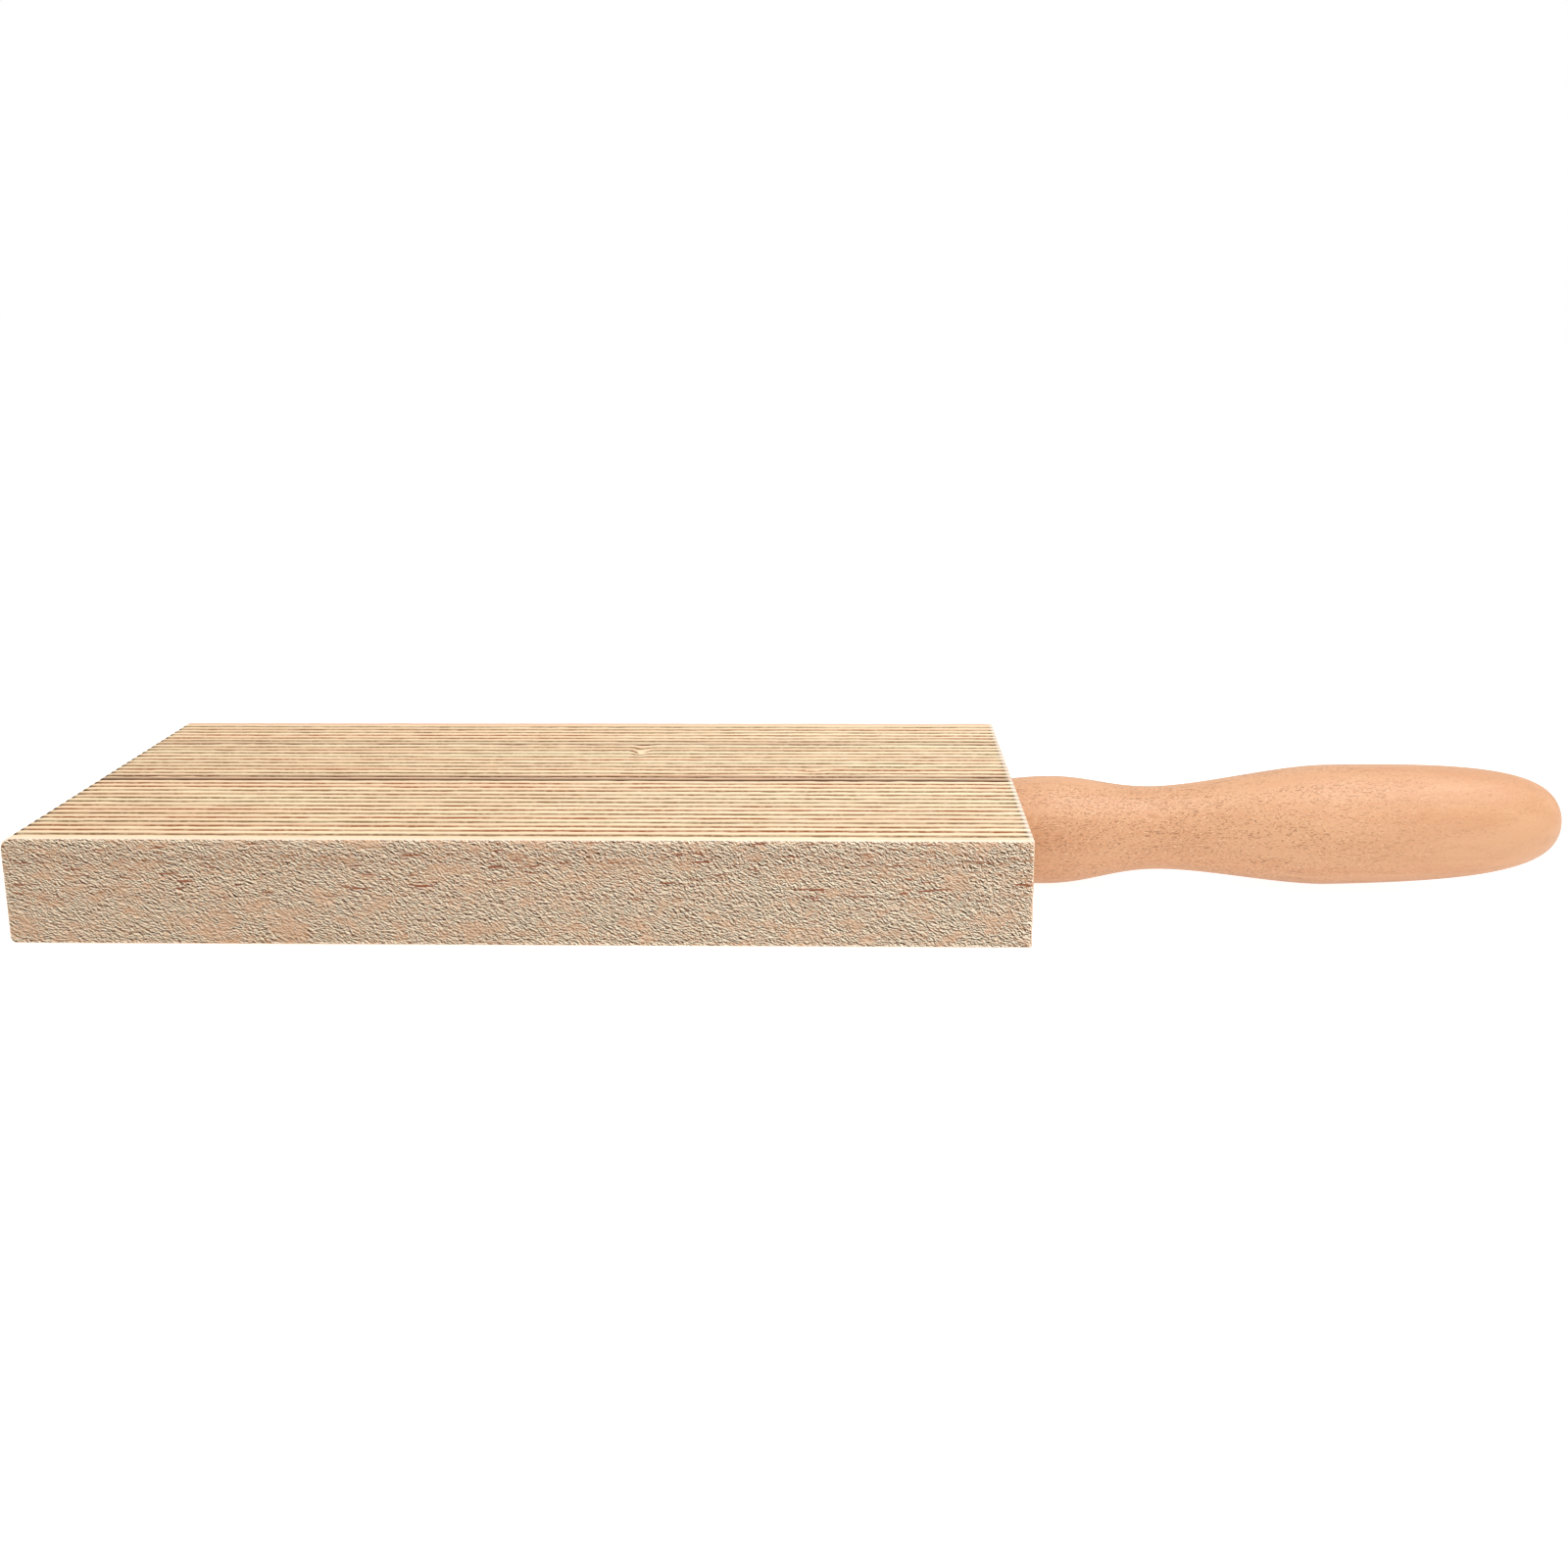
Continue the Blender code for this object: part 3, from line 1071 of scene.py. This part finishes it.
def board_wood(settings, groups):
    material, graph, shader, place = new_material("board_wood")
    normal = graph.node("ShaderNodeNewGeometry").outputs["Normal"]
    facing = graph.separate(graph.vector("ABSOLUTE", normal, (0, 0, 0)))
    on_end = graph.remap(facing[0], 0.5, 0.8)
    on_side = graph.remap(facing[1], 0.86, 0.97)
    groove = graph.node("ShaderNodeAttribute", attribute_name="groove_shade").outputs["Fac"]
    rings = graph.group(
        groups["growth rings"], Vector=place, Pith_Y=70.0, Pith_Z=-40.0, Ring_Width=4.28, Waviness=1.6
    )
    fine = graph.group(groups["long fibres"], Vector=place, Length=4.0, Width=0.2)["Tone"]
    torn = graph.group(groups["torn fibres"], Vector=place, Slant=-0.45, Length=0.44, Width=0.20)
    middle = (BOARD_LOW + BOARD_HIGH) / 2 * PER_METRE
    half_size = (BOARD_HIGH - BOARD_LOW) / 2 * PER_METRE
    worn = graph.group(
        groups["worn edges"], Vector=place, Middle=middle, Half_Size=half_size, Reach=0.8
    )["Mask"]

    top = ridged_face_colour(graph, settings, groups, place, groove, rings, fine)
    top = graph.mix(graph.math("MULTIPLY", worn, 0.7), top, colour(WORN_COLOUR))
    side = sawn_side_colour(graph, settings, groups, place, groove, rings, torn)
    end = end_grain_colour(graph, settings, groups, place, rings)
    surface = graph.mix(on_end, graph.mix(on_side, top, side), end)
    x, _, _ = graph.separate(place)
    # Painted shade: the board darkens towards the tip, as if lit from the handle's side.
    shade_towards_tip = graph.remap(x, BOARD_HIGH.x * PER_METRE, BOARD_LOW.x * PER_METRE, 0, 0.32)
    surface = graph.mix(shade_towards_tip, surface, colour(TIP_SHADE_COLOUR), blend="MULTIPLY")
    graph.feed(shader.inputs["Base Color"], surface)
    graph.feed(shader.inputs["Roughness"], graph.remap(fine, 0.3, 0.7, 0.58, 0.78))
    shader.inputs["Specular IOR Level"].default_value = 0.3

    top_height = graph.math("MULTIPLY", fine, 0.12)
    side_height = graph.math("MULTIPLY", torn["Height"], on_side)
    side_height = graph.math("MULTIPLY", side_height, graph.remap(worn, 0, 1, 1, 0.3))
    graph.feed(shader.inputs["Normal"], graph.bump(graph.math("ADD", top_height, side_height), 0.4 * MM))
    return material


def handle_wood(settings, groups):
    material, graph, shader, place = new_material("handle_wood")
    x, _, _ = graph.separate(place)
    rings = graph.group(
        groups["growth rings"], Vector=place, Pith_Y=-38.0, Pith_Z=46.0, Ring_Width=3.4, Waviness=2.4
    )
    coarse = graph.group(groups["long fibres"], Vector=place, Length=24.0, Width=3.0)["Tone"]
    fine = graph.group(groups["long fibres"], Vector=place, Length=2.4, Width=0.14)["Tone"]
    from_pores = graph.math("ABSOLUTE", graph.math("SUBTRACT", x, PORES_AT))
    near_neck = graph.remap(from_pores, *PORES_THIN_OUT, 0.35, 1.0)
    clusters = graph.math("MULTIPLY", graph.remap(coarse, 0.30, 0.50), near_neck)
    pores = graph.group(groups["dashes"], Vector=place, Length=0.42, Width=0.12, Rarity=0.67)["Mask"]
    long_pores = graph.group(groups["dashes"], Vector=place, Length=1.6, Width=0.15, Rarity=0.73)["Mask"]
    elsewhere = graph.vector("ADD", place, ELSEWHERE)
    # Painted highlight: small pale glints, gathered where the pores gather.
    painted_glints = graph.group(groups["dashes"], Vector=elsewhere, Length=0.30, Width=0.12, Rarity=0.64)["Mask"]
    dark = graph.math("MULTIPLY", graph.math("MAXIMUM", pores, long_pores), clusters)
    light = graph.math("MULTIPLY", painted_glints, clusters)

    figured = graph.remap(coarse, 0.36, 0.66)
    wood = graph.mix(figured, colour(settings.colour), colour(settings.figure_colour))
    wood = graph.mix(graph.math("MULTIPLY", rings["Latewood"], 0.16), wood, colour(HANDLE_RING_COLOUR))
    wood = graph.mix(graph.remap(fine, 0.42, 0.72, 0, 0.24), wood, colour(HANDLE_FIBRE_COLOUR))
    wood = graph.mix(graph.math("MULTIPLY", light, 0.3), wood, colour(HANDLE_GLINT_COLOUR))
    wood = graph.mix(graph.math("MULTIPLY", dark, 0.75), wood, colour(settings.pore_colour))
    graph.feed(shader.inputs["Base Color"], wood)
    graph.feed(shader.inputs["Roughness"], graph.remap(fine, 0.3, 0.7, 0.42, 0.58))
    shader.inputs["Specular IOR Level"].default_value = 0.5
    shader.inputs["Coat Weight"].default_value = 0.2
    shader.inputs["Coat Roughness"].default_value = 0.35
    sunk = graph.math("SUBTRACT", graph.math("MULTIPLY", fine, 0.3), dark)
    graph.feed(shader.inputs["Normal"], graph.bump(sunk, 0.05 * MM))
    return material


# The stage

FLOOR_SIZE = 8
FLOOR_GAP = 0.05 * MM
SENSOR_WIDTH = 36
NEAREST_VIEW = 0.01
LAMPS_AIM_AT = (0.02, 0, 0)
KEY_PLACE = (0.30, -0.15, 0.70)
KEY_SIZE = 0.6
FILL_PLACE = (0.30, -0.8, 0.35)
FILL_SIZE = 0.5


def rest_place():
    """Where the part touches a floor: its tip's lower edge and the lowest point of the handle's collar."""
    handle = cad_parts["turned_handle"].data
    lowest = min((vertex.co for vertex in handle.vertices), key=lambda place: place.z)
    return Vector((BOARD_LOW.x, 0, 0)), lowest.copy()


def make_floor(settings):
    tip, collar = rest_place()
    slope = math.atan2(tip.z - collar.z, collar.x - tip.x)
    deselect_everything()
    bpy.ops.mesh.primitive_plane_add(size=FLOOR_SIZE, location=(tip + collar) / 2, rotation=(0, slope, 0))
    floor = named("floor")
    floor.location.z -= FLOOR_GAP
    material = bpy.data.materials.new("floor")
    material.use_nodes = True
    shader = material.node_tree.nodes["Principled BSDF"]
    shader.inputs["Base Color"].default_value = colour(settings.floor_colour)
    shader.inputs["Roughness"].default_value = 0.9
    shader.inputs["Specular IOR Level"].default_value = 0.1
    shader.inputs["Emission Color"].default_value = (1, 1, 1, 1)
    graph = Graph(material.node_tree)
    seen = graph.node("ShaderNodeLightPath").outputs["Is Camera Ray"]
    glow = graph.remap(seen, 0, 1, settings.floor_glow, settings.floor_brightness)
    graph.feed(shader.inputs["Emission Strength"], glow)
    floor.data.materials.append(material)


def make_room_light(settings):
    world = bpy.data.worlds.new("studio")
    bpy.context.scene.world = world
    world.use_nodes = True
    graph = Graph(world.node_tree)
    background = world.node_tree.nodes["Background"]
    background.inputs["Color"].default_value = (1, 1, 1, 1)
    seen = graph.node("ShaderNodeLightPath").outputs["Is Camera Ray"]
    graph.feed(background.inputs["Strength"], graph.remap(seen, 0, 1, settings.sky_light, 1.0))


def add_lamp(name, place, target, size, power):
    direction = Vector(target) - Vector(place)
    bpy.ops.object.light_add(
        type="AREA", location=place, rotation=direction.to_track_quat("-Z", "Y").to_euler()
    )
    lamp = named(name)
    lamp.data.shape = "DISK"
    lamp.data.size = size
    lamp.data.energy = power


def make_camera(settings):
    turn = (
        Matrix.Rotation(settings.camera_heading, 3, "Z")
        @ Matrix.Rotation(math.pi / 2 - settings.camera_pitch, 3, "X")
        @ Matrix.Rotation(settings.camera_roll, 3, "Z")
    )
    bpy.ops.object.camera_add(location=settings.camera_place, rotation=turn.to_euler())
    camera = named("camera")
    camera.data.lens = settings.lens
    camera.data.sensor_width = SENSOR_WIDTH
    camera.data.clip_start = NEAREST_VIEW
    bpy.context.scene.camera = camera


# Operators


class PADDLE_OT_stage(bpy.types.Operator):
    """Adds the pale floor, the soft light and the camera"""

    bl_idname = "paddle.stage"
    bl_label = "Stage"

    def execute(self, context):
        settings = context.scene.paddle_stage
        context.scene.view_settings.view_transform = "Standard"
        make_floor(settings)
        make_room_light(settings)
        add_lamp("key_lamp", KEY_PLACE, LAMPS_AIM_AT, KEY_SIZE, settings.key_power)
        add_lamp("fill_lamp", FILL_PLACE, LAMPS_AIM_AT, FILL_SIZE, settings.fill_power)
        make_camera(settings)
        return {"FINISHED"}


class PADDLE_OT_board(bpy.types.Operator):
    """Models the grooved board and gives it its softwood finish"""

    bl_idname = "paddle.board"
    bl_label = "Grooved board"

    def execute(self, context):
        scene = context.scene
        board = make_board(scene.paddle_board, scene.paddle_handle)
        board.data.materials.append(board_wood(scene.paddle_board, shared_groups()))
        finish_piece(board, "grooved_board")
        return {"FINISHED"}


class PADDLE_OT_handle(bpy.types.Operator):
    """Turns the handle and gives it its hardwood finish"""

    bl_idname = "paddle.handle"
    bl_label = "Turned handle"

    def execute(self, context):
        settings = context.scene.paddle_handle
        handle = make_handle(settings)
        handle.data.materials.append(handle_wood(settings, shared_groups()))
        finish_piece(handle, "turned_handle")
        return {"FINISHED"}


class PADDLE_PT_panel(bpy.types.Panel):
    """Lists what the add-on makes"""

    bl_idname = "PADDLE_PT_panel"
    bl_label = "Paddle board"
    bl_space_type = "VIEW_3D"
    bl_region_type = "UI"
    bl_category = "Paddle board"

    def draw(self, context):
        for settings, operator in (
            (context.scene.paddle_board, PADDLE_OT_board),
            (context.scene.paddle_handle, PADDLE_OT_handle),
            (context.scene.paddle_stage, PADDLE_OT_stage),
        ):
            box = self.layout.box()
            for name in settings.__annotations__:
                box.prop(settings, name)
            box.operator(operator.bl_idname)


CLASSES = (
    BoardSettings,
    HandleSettings,
    StageSettings,
    PADDLE_OT_board,
    PADDLE_OT_handle,
    PADDLE_OT_stage,
    PADDLE_PT_panel,
)


def register():
    for cls in CLASSES:
        bpy.utils.register_class(cls)
    bpy.types.Scene.paddle_board = PointerProperty(type=BoardSettings)
    bpy.types.Scene.paddle_handle = PointerProperty(type=HandleSettings)
    bpy.types.Scene.paddle_stage = PointerProperty(type=StageSettings)


def unregister():
    del bpy.types.Scene.paddle_stage
    del bpy.types.Scene.paddle_handle
    del bpy.types.Scene.paddle_board
    for cls in reversed(CLASSES):
        bpy.utils.unregister_class(cls)


def main():
    register()
    bpy.ops.paddle.board()
    bpy.ops.paddle.handle()
    bpy.ops.paddle.stage()


if __name__ == "__main__":
    main()
